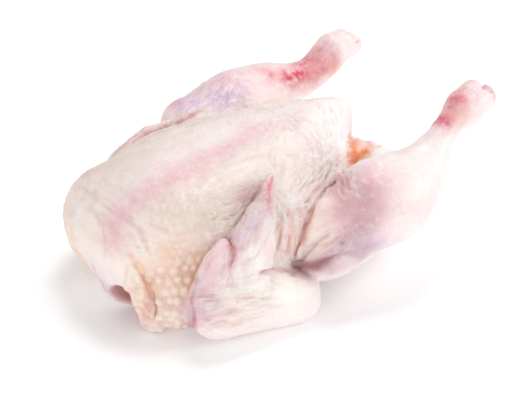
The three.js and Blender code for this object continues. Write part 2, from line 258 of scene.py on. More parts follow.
# The hole where the neck was, and its flap of skin
def neck(P, d):
    hole = capsule(P, *NECK_HOLE_LINE, NECK_HOLE_RADIUS - 3.5, NECK_HOLE_RADIUS)
    flap_line = ((-104, -29, 45), (-100.5, -32, 30), (-97, -33, 9))
    flap = blade(P, flap_line, (3, 7.5, 8.5), (-0.85, -0.5, 0.1), 3, 2)
    return blend(2.5, smooth_max(d, -hole, 4), flap)


def creased(P, d):
    for radius, line in CREASES:
        parts = [capsule(P, line[i], line[i + 1], radius, radius) for i in range(len(line) - 1)]
        d = smooth_max(d, -blend(1, *parts), 1.5)
    return d


def bird(P):
    d = blend(5, trunk(P), *[leg(P, side) for side in SIDES])
    d = side_skin(P, d)
    for side in SIDES:
        d = wing(P, d, side)
    return np.maximum(creased(P, neck(P, vent(P, d))), -P[..., 2])


# A function of many points, worked out for some of them at a time
def in_parts(function, P, part=60000):
    return np.concatenate([function(P[i:i + part]) for i in range(0, len(P), part)])


def normals_at(field, P, step=0.4):
    slopes = []
    for axis in np.eye(3, dtype=np.float32):
        slopes.append(in_parts(field, P + axis * step) - in_parts(field, P - axis * step))
    g = np.stack(slopes, -1)
    return g / np.maximum(np.linalg.norm(g, axis=-1, keepdims=True), 1e-6)


# The zero surface of a field: one point in every cell that it crosses, joined across the grid's edges
def surface_of(field):
    low = vec(GRID_LOW)
    counts = np.ceil((vec(GRID_HIGH) - low) / CELL).astype(int) + 1
    axes = [low[i] + CELL * np.arange(counts[i], dtype=np.float32) for i in range(3)]
    plane = np.stack(np.meshgrid(axes[1], axes[2], indexing="ij"), -1)
    values = np.empty(counts, np.float32)
    for i, x in enumerate(axes[0]):
        P = np.concatenate([np.full(plane.shape[:-1] + (1,), x, np.float32), plane], -1)
        values[i] = field(P)
    inside = values < 0
    cells = counts - 1
    sums = np.zeros(tuple(cells) + (3,), np.float32)
    hits = np.zeros(tuple(cells), np.float32)
    crossings = []
    for axis in range(3):
        ahead = [slice(None)] * 3
        here = [slice(None)] * 3
        ahead[axis] = slice(1, None)
        here[axis] = slice(None, -1)
        a, b = values[tuple(here)], values[tuple(ahead)]
        change = inside[tuple(here)] != inside[tuple(ahead)]
        where = np.argwhere(change)
        t = a[change] / (a[change] - b[change])
        point = where.astype(np.float32)
        point[:, axis] += t
        crossings.append((axis, where, inside[tuple(here)][change]))
        others = [k for k in range(3) if k != axis]
        for du in (0, 1):
            for dv in (0, 1):
                cell = where.copy()
                cell[:, others[0]] -= du
                cell[:, others[1]] -= dv
                keep = ((cell >= 0) & (cell < cells)).all(1)
                np.add.at(sums, tuple(cell[keep].T), point[keep])
                np.add.at(hits, tuple(cell[keep].T), 1)
    used = hits > 0
    number = np.full(hits.shape, -1)
    number[used] = np.arange(used.sum())
    points = sums[used] / hits[used][:, None] * CELL + low
    quads = []
    for axis, where, starts_inside in crossings:
        u, v = [(1, 2), (2, 0), (0, 1)][axis]
        corner = []
        for du, dv in ((1, 1), (0, 1), (0, 0), (1, 0)):
            cell = where.copy()
            cell[:, u] -= du
            cell[:, v] -= dv
            corner.append(number[tuple(cell.T)])
        quad = np.stack(corner, 1)
        quad[~starts_inside] = quad[~starts_inside][:, ::-1]
        quads.append(quad)
    quads = np.concatenate(quads)
    return points, np.concatenate([quads[:, [0, 1, 2]], quads[:, [0, 2, 3]]])


def snap_to(field, P, rounds=2):
    for _ in range(rounds):
        P = P - normals_at(field, P) * np.clip(in_parts(field, P), -1, 1)[:, None]
    return P


# Every triangle with all its corners in the mask is cut in four, and its neighbours in two or three
def refine(P, triangles, mask):
    edges = np.sort(np.concatenate([triangles[:, [0, 1]], triangles[:, [1, 2]], triangles[:, [2, 0]]]), 1)
    unique, index = np.unique(edges, axis=0, return_inverse=True)
    cut = mask[unique].all(1)
    middle = np.full(len(unique), -1)
    middle[cut] = len(P) + np.arange(cut.sum())
    m = middle[index.reshape(3, -1).T]
    t = triangles
    count = (m >= 0).sum(1)
    pieces = [t[count == 0]]
    full = count == 3
    a, b, c = t[full].T
    ab, bc, ca = m[full].T
    pieces += [np.stack(s, 1) for s in ((a, ab, ca), (ab, b, bc), (ca, bc, c), (ab, bc, ca))]
    for k in range(3):
        one = (count == 1) & (m[:, k] >= 0)
        a, b, c = (t[one][:, (k + i) % 3] for i in range(3))
        ab = m[one][:, k]
        pieces += [np.stack((a, ab, c), 1), np.stack((ab, b, c), 1)]
        two = (count == 2) & (m[:, k] < 0)
        a, b, c = (t[two][:, (k + i) % 3] for i in range(3))
        bc, ca = m[two][:, (k + 1) % 3], m[two][:, (k + 2) % 3]
        pieces += [np.stack((a, b, bc), 1), np.stack((a, bc, ca), 1), np.stack((ca, bc, c), 1)]
    halves = (P[unique[cut, 0]] + P[unique[cut, 1]]) / 2
    return np.concatenate([P, halves]), np.concatenate(pieces)


# Factors that scramble whole numbers
SCRAMBLE_X = 73856093
SCRAMBLE_Y = 19349663
SCRAMBLE_Z = 83492791
SCRAMBLE_SEED = 2654435761
SCRAMBLE_AGAIN = 1274126177
HALF_WORD = 32767.5


# Smooth random values from -1 to 1 on a lattice of the given spacing
def noise(P, spacing, seed=0):
    q = P / spacing
    base = np.floor(q).astype(np.int64)
    f = q - base
    w = f * f * (3 - 2 * f)
    total = np.zeros(P.shape[:-1])
    for dx in (0, 1):
        for dy in (0, 1):
            for dz in (0, 1):
                x, y, z = base[..., 0] + dx, base[..., 1] + dy, base[..., 2] + dz
                h = (x * SCRAMBLE_X) ^ (y * SCRAMBLE_Y) ^ (z * SCRAMBLE_Z) ^ (seed * SCRAMBLE_SEED)
                h = (h ^ (h >> 13)) * SCRAMBLE_AGAIN & 0x7FFFFFFF
                h = (h ^ (h >> 11)) & 0xFFFF
                weight = (np.where(dx, w[..., 0], 1 - w[..., 0]) * np.where(dy, w[..., 1], 1 - w[..., 1])
                          * np.where(dz, w[..., 2], 1 - w[..., 2]))
                total += weight * (h / HALF_WORD - 1)
    return total


# Camera: how far it is turned round the bird, how steeply it looks down, where it stands, and its lens
CAMERA_TURN = 37.5
CAMERA_DROP = 29.0
CAMERA_PLACE = (-392.147, -511.056, 391.8)
FOCAL_PIXELS = 1245.0
IMAGE_SIZE = (512.0, 400.0)
SENSOR_MM = 36.0

# The march of a line of sight onto the skin: where it starts, its rounds, its share of the distance left
# and its longest steps back and ahead
MARCH_START = 540.0
MARCH_ROUNDS = 90
MARCH_SHARE = 0.8
MARCH_STEPS = (-8, 30)


def camera_axes():
    turn, drop = math.radians(CAMERA_TURN), math.radians(CAMERA_DROP)
    level = np.array([math.sin(turn), math.cos(turn), 0])
    forward = level * math.cos(drop) - np.array([0, 0, math.sin(drop)])
    right = np.array([math.cos(turn), -math.sin(turn), 0])
    return right, np.cross(right, forward), forward


# Places on the skin that the camera sees at the given pixels of its picture
def seen(pixels):
    right, up, forward = camera_axes()
    across, down = (np.array(pixels, float) - np.array(IMAGE_SIZE) / 2).T / FOCAL_PIXELS
    rays = forward + across[:, None] * right - down[:, None] * up
    rays /= np.linalg.norm(rays, axis=1)[:, None]
    reach = np.full(len(rays), MARCH_START)
    for _ in range(MARCH_ROUNDS):
        P = (np.array(CAMERA_PLACE) + rays * reach[:, None]).astype(np.float32)
        reach += MARCH_SHARE * np.clip(bird(P), *MARCH_STEPS)
    return P, rays


# The same for several lines of pixels at once
def seen_lines(lines):
    points, rays = seen([pixel for line in lines for pixel in line])
    ends = np.cumsum([len(line) for line in lines])[:-1]
    return list(zip(np.split(points, ends), np.split(rays, ends)))


# Distance from each point to a line through the given points, which side it is on, and how far along it is
def beside(P, line, rays):
    best = np.full(len(P), 1e9)
    side = np.zeros(len(P))
    along = np.zeros(len(P))
    for i in range(len(line) - 1):
        a, step = line[i], line[i + 1] - line[i]
        t = np.clip(((P - a) @ step) / (step @ step), 0, 1)
        away = P - a - t[:, None] * step
        distance = np.linalg.norm(away, axis=1)
        closer = distance < best
        best[closer] = distance[closer]
        side[closer] = np.sign(away @ np.cross(step, rays[i]))[closer]
        along[closer] = ((i + t) / (len(line) - 1))[closer]
    return best, side, along


# Folds of loose skin, as pixels of the picture: the skin is raised on the right of the way along each line.
# After the pixels: the rise, its width, the depth on the other side and its width, in millimetres.
FOLDS = [
    (((346, 174), (335, 186), (325, 191), (316, 203), (308, 220), (302, 238), (297, 252), (297, 262)),
     1.2, 5, 0.3, 2.0),
    (((333, 232), (320, 241), (310, 252), (303, 260), (294, 270)), 1.2, 4, 1.0, 3),
    (((286, 207), (290, 222), (290, 240), (288, 256)), 0.6, 1.8, 0.35, 1.6),
    (((300, 204), (301, 222), (297, 240), (293, 256)), 0.6, 1.8, 0.3, 1.6),
    (((275, 204), (281, 218), (281, 236), (278, 252)), 0.5, 1.8, 0.3, 1.6),
    (((292, 273), (283, 270), (273, 269), (264, 271), (257, 275)), 0.5, 3, 1.0, 2),
    (((133, 260), (140, 268), (146, 278), (151, 292), (150, 305), (149, 325)), 1.6, 4, 1.2, 2.5),
    (((126, 292), (134, 291), (143, 293)), 0.5, 2, 0.6, 1.2),
    (((128, 262), (126, 278), (124, 288), (128, 301), (136, 318)), 0.6, 1.8, 0.0, 1),
    (((146, 300), (145, 312), (142, 326)), 0.6, 1.5, 0.6, 1.2),
    (((95, 211), (101, 221), (104, 230), (106, 242), (104, 262)), 0.6, 4, 0.9, 1.5),
    (((137, 229), (144, 240), (151, 252)), 0.3, 3, 0.5, 1.2),
    (((206, 316), (216, 314), (228, 312), (239, 306)), 0.7, 2.5, 0.9, 1.5),
    (((208, 326), (222, 320), (232, 323), (244, 325)), 0.5, 2.5, 0.6, 1.5),
    (((232, 300), (246, 296), (258, 297)), 0.4, 2.5, 0.5, 1.5),
    (((322, 246), (334, 242), (348, 241)), 0.5, 3, 0.6, 2),
    (((318, 262), (334, 255), (352, 252)), 0.4, 3, 0.5, 2),
    (((160, 128), (180, 121), (190, 116), (203, 109)), 0.5, 3, 1.0, 1.5),
    (((232, 229), (240, 217), (250, 203), (258, 190)), 0.5, 2, 0.5, 2),
    (((479, 80), (485, 87), (494, 92)), 0.5, 2.5, 1.6, 2),
    (((224, 247), (231, 243), (236, 249), (233, 262), (227, 274)), 0.6, 1.6, 0.3, 1.5),
    (((300, 206), (311, 196), (322, 184), (330, 170)), 0.5, 2, 0.4, 1.6),
    (((316, 203), (324, 192), (336, 180), (344, 168)), 0.5, 2, 0.4, 1.6),
    (((337, 30), (347, 32), (356, 40)), 0.5, 2.5, 0.8, 1.5),
]

# Fine wrinkles: the way they run in pixels of the picture, then how far from there they reach,
# their spacing and their height in millimetres
WRINKLES = [
    (((296, 122), (324, 156)), 13, 2.2, 0.5),
    (((328, 110), (334, 145)), 9, 2.1, 0.45),
    (((316, 148), (322, 182)), 9, 2.0, 0.6),
    (((296, 206), (326, 172)), 11, 2.0, 0.7),
    (((334, 158), (344, 184)), 6, 2.0, 1.0),
    (((276, 136), (284, 188)), 14, 2.2, 0.3),
    (((222, 213), (252, 206)), 12, 2.0, 0.7),
    (((284, 208), (285, 255)), 11, 1.9, 0.5),
    (((214, 303), (256, 298)), 15, 2.8, 0.8),
    (((214, 322), (250, 312)), 10, 2.6, 0.7),
    (((238, 262), (266, 200)), 12, 2.3, 0.6),
    (((206, 300), (228, 258)), 11, 2.3, 0.4),
    (((306, 258), (350, 238)), 12, 2.6, 0.8),
    (((160, 140), (230, 112)), 12, 3.0, 0.2),
    (((272, 70), (330, 40)), 12, 2.6, 0.5),
    (((200, 108), (212, 88)), 14, 2.2, 0.4),
    (((438, 122), (462, 96)), 12, 2.4, 0.6),
    (((356, 150), (386, 146)), 12, 2.6, 0.9),
    (((110, 210), (150, 230)), 14, 2.6, 0.3),
]

# How many times longer than wide the wrinkles are, and how wide the crease beside a fold is in millimetres
WRINKLE_LENGTH = 6.0
FOLD_CREASE = 1.6

# Hair-fine lines: a name, the way they run in pixels of the picture, then their reach and their spacing
# in millimetres
HAIR_LINES = [
    ("lines_top", ((292, 118), (326, 158)), 13, 0.85),
    ("lines_edge", ((331, 108), (330, 182)), 8, 0.85),
    ("lines_low", ((292, 210), (326, 172)), 13, 0.8),
    ("lines_side", ((222, 213), (256, 204)), 13, 0.8),
    ("lines_web", ((284, 206), (285, 256)), 13, 0.8),
    ("lines_arm", ((212, 305), (258, 298)), 18, 1.0),
    ("lines_hand", ((232, 275), (266, 200)), 14, 1.0),
    ("lines_leg", ((212, 102), (222, 86)), 22, 0.9),
    ("lines_thigh", ((308, 256), (352, 238)), 14, 1.0),
]


# Height of one fold, and a mask of its crease
def fold(P, line, rays, rise, rise_width, depth, depth_width):
    distance, side, along = beside(P, line, rays)
    s = distance * side
    over = ramp(s, -0.5, 0.5)
    shape = (over * rise * np.exp(-(np.maximum(s, 0) / rise_width) ** 2)
             - (1 - over) * depth * np.exp(-(np.minimum(s, 0) / depth_width) ** 2))
    ends = ramp(along, 0, 0.12) * (1 - ramp(along, 0.88, 1))
    return shape * ends, np.exp(-(distance / FOLD_CREASE) ** 2) * ends


# Height and valleys of the wrinkles, which are drawn on the other side of the bird as well
def wrinkles(P):
    total = np.zeros(len(P))
    valleys = np.zeros(len(P))
    for k, (line, rays) in enumerate(seen_lines([entry[0] for entry in WRINKLES])):
        reach, spacing, height = WRINKLES[k][1:]
        for mirror in ((1, 1, 1), (1, -1, 1)):
            Q = P * vec(mirror)
            near = np.exp(-(beside(Q, line, rays)[0] / reach) ** 2)
            close = near > 0.03
            way = unit(line[1] - line[0])
            R = Q[close] + 1.2 * np.stack([noise(Q[close], 9, 20 + s) for s in range(3)], -1)
            R = R - (1 - 1 / WRINKLE_LENGTH) * (R @ way)[:, None] * way
            ridges = 1 - 2.2 * np.abs(noise(R, spacing, 30 + k))
            total[close] += height * near[close] * ridges
            valleys[close] = np.maximum(valleys[close], near[close] * ramp(-ridges, -0.4, 0.6))
    return total, valleys


# Strength of each set of hair-fine lines at the points, and the way that it runs
def hair_lines(P):
    strengths = {}
    ways = {}
    for (line, rays), (name, _, reach, _) in zip(seen_lines([entry[1] for entry in HAIR_LINES]), HAIR_LINES):
        distance = beside(P + 2.5 * noise(P, 12, 19)[:, None], line, rays)[0]
        strengths[name] = np.exp(-(distance / reach) ** 2)
        ways[name] = unit(line[1] - line[0])
    return strengths, ways


# Domes on a jittered lattice laid along two directions of the skin
def pimples(P, across, along, spacing, width, keep=1.0, seed=0):
    u = np.stack([P @ vec(unit(across)), P @ vec(unit(along))], -1) / spacing
    u[:, 0] += 0.5 * (np.floor(u[:, 1]).astype(int) % 2)
    base = np.floor(u).astype(np.int64)
    top = np.zeros(len(P))
    for dx in (-1, 0, 1):
        for dy in (-1, 0, 1):
            cell = base + (dx, dy)
            code = (cell[:, 0] * SCRAMBLE_X) ^ (cell[:, 1] * SCRAMBLE_Y) ^ (seed * SCRAMBLE_Z)
            code = ((code ^ (code >> 13)) * SCRAMBLE_AGAIN) & 0x7FFFFFFF
            jitter = np.stack([code & 0xFF, (code >> 8) & 0xFF], -1) / 255 - 0.5
            centre = cell + 0.5 + 0.6 * jitter
            size = width * (0.9 + 0.4 * ((code >> 12) & 0xFF) / 255)
            reach = np.linalg.norm(u - centre, axis=1) * spacing / size
            shown = ((code >> 20) & 0xFF) / 255 < keep
            top = np.maximum(top, np.where(shown, np.maximum(1 - reach ** 2, 0) ** 1.5, 0))
    return top


# Low lumps all over the skin: height and spacing in millimetres, and seed
LUMPS = ((0.7, 24, 1), (0.35, 9, 2), (0.14, 4, 3))

# Where the skin is goose-fleshed, and where spots are scattered, in pixels of the picture. Heights and
# reaches are in millimetres, and the relief fades out between the two values of a reach.
GOOSE_LINE = ((188, 226), (177, 250), (170, 280), (166, 315))
GOOSE_REACH = (14, 27)
SPOT_LINES = [((352, 172), (385, 165), (410, 160)), ((365, 205), (392, 195)),
              ((232, 100), (262, 100), (290, 98))]
SPOT_REACH = (12, 24)
NEAR_GOOSE_HEIGHT = 1.2
FAR_GOOSE_HEIGHT = 0.6
SPOT_HEIGHT = 0.6
GOOSE_ACROSS = (0.75, -0.55, 0)
UP = (0, 0, 1)


# From 1 near the given lines of the picture, on both sides of the bird, to 0 beyond their reach
def near_lines(P, lines, reach):
    Q = P * vec((1, -1, 1))
    distance = np.full(len(P), 1e9)
    for line, rays in seen_lines(lines):
        distance = np.minimum(distance, np.minimum(beside(P, line, rays)[0], beside(Q, line, rays)[0]))
    return 1 - ramp(distance, *reach)


# Height of the skin's fine relief at the points, and the masks that go with it
def relief(P):
    z = P[:, 2]
    lumps = sum(rise * noise(P, spacing, seed) for rise, spacing, seed in LUMPS)
    chest = near_lines(P + 3 * noise(P, 10, 6)[:, None], [GOOSE_LINE], GOOSE_REACH)
    for side in SIDES:
        chest = chest * ramp(folded_wing(P, side), 1, 4)
    coarse = 1 - ramp(z + 4 * noise(P, 12, 5), 40, 54)
    folded = P * vec((1, 0, 1)) - np.abs(P) * vec((0, 1, 0))
    big = pimples(folded, GOOSE_ACROSS, UP, 5.6, 3.0)
    small = pimples(folded, GOOSE_ACROSS, UP, 3.6, 1.9, 0.85, seed=2)
    goose = chest * (big * coarse + 0.55 * small * (1 - coarse))
    spotted = near_lines(P, SPOT_LINES, SPOT_REACH) * ramp(noise(P, 14, 8), -0.7, 0.1)
    spots = pimples(P, (1, 0, 0.25), (0, 0.4, 1), 5.8, 1.8, 0.85, seed=7) * spotted
    creases = np.zeros(len(P))
    folds = np.zeros(len(P))
    for (line, rays), (_, *profile) in zip(seen_lines([entry[0] for entry in FOLDS]), FOLDS):
        shape, crease = fold(P, line, rays, *profile)
        folds += shape
        creases = np.maximum(creases, crease)
    drawn, valleys = wrinkles(P)
    goose_height = np.where(P[:, 1] > 0, FAR_GOOSE_HEIGHT, NEAR_GOOSE_HEIGHT)
    height = lumps + goose_height * goose + SPOT_HEIGHT * spots + folds + drawn
    return height, dict(goose=chest * (0.1 + 0.9 * coarse), bumps=np.maximum(goose, spots),
                        creases=creases, valleys=valleys)


# Stains of the skin, by colour, among them painted light and painted shade: strength, reach in millimetres,
# whether the other side of the bird has it too, and the way along it in pixels of the picture
STAINS_AND_PAINTED_SHADING = dict(
    # Painted light: paler skin where the light falls brightest, on the breast's rear end, the near knob and
    # other lit places
    painted_light=[
        (0.9, 8, False, ((337, 108), (337, 130), (336, 150), (332, 163))),
        (0.7, 10, False, ((248, 262), (262, 290), (288, 292))),
        (0.7, 9, False, ((425, 175), (445, 158), (474, 122), (480, 106))),
        (0.5, 9, False, ((336, 60), (346, 46)))],
    pink=[
        (0.58, 9, False, ((113, 240), (122, 212), (142, 195), (165, 181), (198, 164), (232, 146),
                          (256, 131))),
        (0.3, 8, False, ((270, 123), (296, 115))),
        (0.65, 12, True, ((344, 188), (342, 218), (358, 218), (364, 196), (367, 178))),
        (0.15, 12, True, ((395, 165), (412, 165))),
        (0.15, 15, True, ((384, 188), (394, 212), (380, 232))),
        (0.6, 12, False, ((176, 100), (196, 86), (215, 82), (240, 77), (275, 74))),
        (0.4, 7, False, ((318, 50), (330, 40), (334, 58))),
        (0.35, 8, False, ((458, 84), (472, 84), (478, 100), (470, 118), (440, 128))),
        (0.5, 9, True, ((200, 320), (204, 290), (214, 262), (225, 246))),
        (0.5, 7, False, ((262, 193), (250, 205))),
        (0.35, 5, False, ((258, 225), (262, 245), (268, 262))),
        (0.7, 3.5, False, ((272, 184), (269, 200), (267, 212))),
        (0.6, 4, False, ((88, 172), (102, 158), (126, 146), (150, 132))),
        (0.6, 3, False, ((341, 160), (338, 180))),
        (0.6, 1.5, False, ((224, 249), (231, 245), (236, 250), (233, 262), (228, 274))),
        (0.5, 1.8, False, ((229, 268), (238, 252), (247, 233), (256, 214), (266, 192))),
        (0.5, 2, False, ((224, 249), (214, 258), (206, 272), (200, 292), (200, 315)))],
    red=[
        (0.9, 7, False, ((292, 76), (298, 72), (304, 66))),
        (0.7, 4, False, ((293, 76), (300, 70))),
        (0.6, 8, False, ((304, 64), (310, 57), (318, 54))),
        (0.6, 5, False, ((268, 74), (286, 74))),
        (0.44, 8, False, ((312, 78), (322, 72), (332, 62))),
        (0.85, 6, False, ((450, 100), (459, 95))),
        (0.85, 5, False, ((440, 121), (449, 123))),
        (0.5, 6, False, ((445, 114), (450, 106))),
        (0.6, 1.6, False, ((303, 60), (308, 55), (313, 50))),
        (1.0, 1.8, False, ((485, 88), (490, 90), (495, 93))),
        (0.35, 1.2, False, ((126, 292), (134, 291), (144, 294))),
        (0.3, 1.4, False, ((147, 300), (146, 312), (143, 326))),
        (0.5, 1.4, False, ((479, 79), (484, 84))),
        (0.9, 1.6, False, ((272.5, 178), (271, 186), (269, 194))),
        (0.45, 2.6, False, ((271, 184), (269, 196), (267, 206))),
        (0.4, 3, False, ((260, 190), (264, 198))),
        (0.4, 2.6, True, ((192, 285), (191, 300), (196, 322), (201, 336))),
        (0.35, 2, False, ((258, 274), (266, 270), (276, 269), (289, 272))),
        (0.5, 1.6, False, ((160, 128), (180, 121), (190, 116), (203, 109))),
        (0.5, 1.3, False, ((337, 28), (350, 31), (358, 40)))],
    orange=[
        (0.7, 1.4, False, ((335, 187), (325, 193), (316, 206), (308, 222), (300, 242), (295, 256))),
        (0.45, 1.2, False, ((289, 212), (293, 232), (291, 252))),
        (0.4, 1.2, False, ((280, 222), (281, 240), (278, 252))),
        (0.5, 2.2, False, ((130, 260), (138, 267), (145, 277), (151, 291))),
        (0.6, 3, False, ((148, 280), (152, 290), (152, 304))),
        (0.3, 9, True, ((175, 250), (168, 275), (180, 285), (192, 262))),
        (0.35, 6, False, ((314, 74), (326, 66), (334, 74))),
        (0.35, 6, False, ((456, 120), (463, 106))),
        (0.35, 5, False, ((171, 103), (178, 98))),
        (0.5, 2, False, ((231, 242), (233, 252))),
        (1.0, 4.2, False, ((353, 136), (352, 146), (353, 157))),
        (1.0, 4.2, False, ((354, 163), (361, 158), (368, 154))),
        (0.35, 3, False, ((368, 150), (378, 146), (388, 145)))],
    yellow=[
        (0.5, 12, True, ((338, 195), (328, 215), (322, 235))),
        (0.35, 14, True, ((72, 235), (85, 232), (98, 245))),
        (0.3, 14, True, ((175, 240), (165, 280), (150, 310), (175, 300))),
        (0.25, 12, True, ((215, 215), (235, 205))),
        (0.3, 10, True, ((235, 300), (265, 290), (290, 290))),
        (0.6, 6, False, ((142, 270), (146, 290), (146, 310)))],
    lilac=[
        (0.85, 9, True, ((188, 101), (205, 98), (222, 97), (238, 95))),
        (0.7, 4, True, ((94, 268), (98, 278), (103, 286))),
        (0.6, 10, True, ((335, 256), (345, 250), (358, 244), (376, 246))),
        (0.15, 12, True, ((355, 205), (372, 195))),
        (0.4, 6, True, ((238, 240), (248, 228), (258, 215))),
        (0.25, 7, True, ((200, 285), (205, 300), (205, 315))),
        (0.6, 6, True, ((180, 305), (190, 315), (186, 328))),
        (0.7, 2.0, False, ((311, 60), (316, 66), (322, 70))),
        (0.4, 3, False, ((451, 103), (457, 110)))],
    beige=[
        (0.7, 15, True, ((180, 215), (215, 222), (240, 205), (180, 260), (185, 300))),
        (0.6, 16, True, ((250, 190), (225, 190))),
        (0.42, 24, True, ((150, 195), (230, 175), (275, 158)))],
    # Painted shade: along creases and grooves, beside the wing's edges, in the pocket between wing and thigh,
    # on the thigh and under it, on the near flank and at the vent
    shade=[
        (0.25, 2.5, False, ((146, 276), (152, 290), (152, 310))),
        (0.38, 12, True, ((346, 182), (347, 204), (362, 192), (357, 226))),
        (0.1, 13, True, ((204, 228), (216, 216), (236, 205))),
        (0.12, 5, False, ((205, 310), (213, 290), (222, 270))),
        (0.9, 6, False, ((300, 269), (312, 263), (328, 261))),
        (0.35, 9, False, ((322, 256), (345, 254), (366, 252))),
        (0.45, 1.3, False, ((335, 186), (325, 191), (316, 203), (308, 220), (302, 238), (297, 252))),
        (0.08, 3.5, False, ((331, 183), (320, 189), (310, 201), (302, 218), (297, 236), (293, 250))),
        (0.5, 2.2, False, ((196, 280), (191, 300), (195, 325), (200, 340))),
        (0.3, 1.5, False, ((232, 244), (232, 254), (227, 268))),
        (0.35, 5, False, ((245, 203), (252, 196), (258, 186))),
        (0.35, 2.0, False, ((350, 168), (354, 163), (359, 160)))])

# The red edge of the skin at a cut hock, from the end of the leg's line
HOCK_CUT = 9.5
HOCK_CUT_WIDTH = 1.6
HOCK_CUT_STRENGTH = 0.45


# Strength of each colour of stain, painted light and painted shade at the points, with its outlines made
# uneven
def stains_and_painted_shading(P):
    warped = P + 3 * np.stack([noise(P, 14, s) for s in (11, 12, 13)], -1)
    warped = warped + 1.0 * np.stack([noise(P, 4, s) for s in (14, 15, 16)], -1)
    found = {}
    for name, entries in STAINS_AND_PAINTED_SHADING.items():
        found[name] = np.zeros(len(P))
        lines = seen_lines([entry[3] for entry in entries])
        for (line, rays), (strength, reach, both_sides, _) in zip(lines, entries):
            near_line = beside(warped, line, rays)[0]
            if both_sides:
                near_line = np.minimum(near_line, beside(warped * vec((1, -1, 1)), line, rays)[0])
            spot = strength * np.exp(-(near_line / reach) ** 2)
            found[name] = 1 - (1 - found[name]) * (1 - spot)
    return found


# The stains, painted light and shade, and masks for the vent's flesh and fat, the cut hocks and the neck hole
def masks(P):
    found = stains_and_painted_shading(P)
    x = P[:, 0]
    bore = vent_bore(P)
    found["flesh"] = (1 - ramp(bore + 2 * noise(P, 9, 17), 0.5, 3)) * (1 - ramp(x, 62, 82))
    for side in SIDES:
        along = unit(np.subtract(side["hock"], side["drum_top"]))
        beyond = (P - vec(side["hock"])) @ vec(along)
        cut_edge = HOCK_CUT_STRENGTH * np.exp(-((beyond - HOCK_CUT) / HOCK_CUT_WIDTH) ** 2)
        cut_edge = cut_edge * ramp(noise(P, 5, 21), -0.4, 0.4)
        found["red"] = np.maximum(found["red"], cut_edge * (beyond > 0))
    found["fat"] = (1 - ramp(np.abs(bore - 3), 1, 5)) * ramp(x, 48, 60) * ramp(noise(P, 11, 18), -0.5, 0.5)
    hole = capsule(P, *NECK_HOLE_LINE, NECK_HOLE_RADIUS - 2.5, NECK_HOLE_RADIUS + 1)
    found["dark"] = (1 - ramp(hole, -1.5, 1)) * (1 - ramp(x, -70, -60))
    return found


# Places with fine relief or thin edges, each a centre and a radius, where the mesh is made twice as fine
FINE_SPOTS = [((-92, -44, 26), 34), ((-92, 44, 26), 18), ((-42, -60, 48), 34), ((-18, -62, 44), 26),
              ((24, -36, 70), 40), ((80, 0, 48), 28), ((118, -61, 92), 18), ((118, 58, 89), 16),
              ((30, -74, 52), 26)]


# The skin's points, triangles and masks, the ways of its hair-fine lines, and the shift into the shared frame
def skin_mesh():
    P, triangles = surface_of(bird)
    P = snap_to(bird, P)
    middle = (P.min(0) + P.max(0)) / 2
    fine = np.zeros(len(P), bool)
    for centre, radius in FINE_SPOTS:
        fine |= np.linalg.norm(P - vec(centre), axis=1) < radius
    fine &= P[:, 2] > 1
    P, triangles = refine(P, triangles, fine)
    P = snap_to(bird, P, 1)
    shift = vec((-middle[0], -middle[1], 0))
    outward = normals_at(bird, P)
    height, bump_masks = relief(P)
    off_the_ground = ramp(P[:, 2], 0.2, 4)
    moved = P + outward * (height * off_the_ground)[:, None]
    moved[:, 2] = np.maximum(moved[:, 2], 0)
    line_masks, ways = hair_lines(P)
    return moved + shift, triangles, {**masks(P), **bump_masks, **line_masks}, ways, shift


def make_object(name, P, triangles):
    mesh = bpy.data.meshes.new(name)
    mesh.vertices.add(len(P))
    mesh.vertices.foreach_set("co", (P * MM).astype(np.float32).ravel())
    mesh.loops.add(len(triangles) * 3)
    mesh.loops.foreach_set("vertex_index", triangles.astype(np.int32).ravel())
    mesh.polygons.add(len(triangles))
    mesh.polygons.foreach_set("loop_start", np.arange(0, len(triangles) * 3, 3, dtype=np.int32))
    mesh.update(calc_edges=True)
    mesh.validate()
    mesh.shade_smooth()
    piece = bpy.data.objects.new(name, mesh)
    bpy.context.scene.collection.objects.link(piece)
    return piece


def set_mask(piece, name, values):
    layer = piece.data.attributes.new(name, "FLOAT", "POINT")
    layer.data.foreach_set("value", np.clip(values, 0, 1).astype(np.float32))


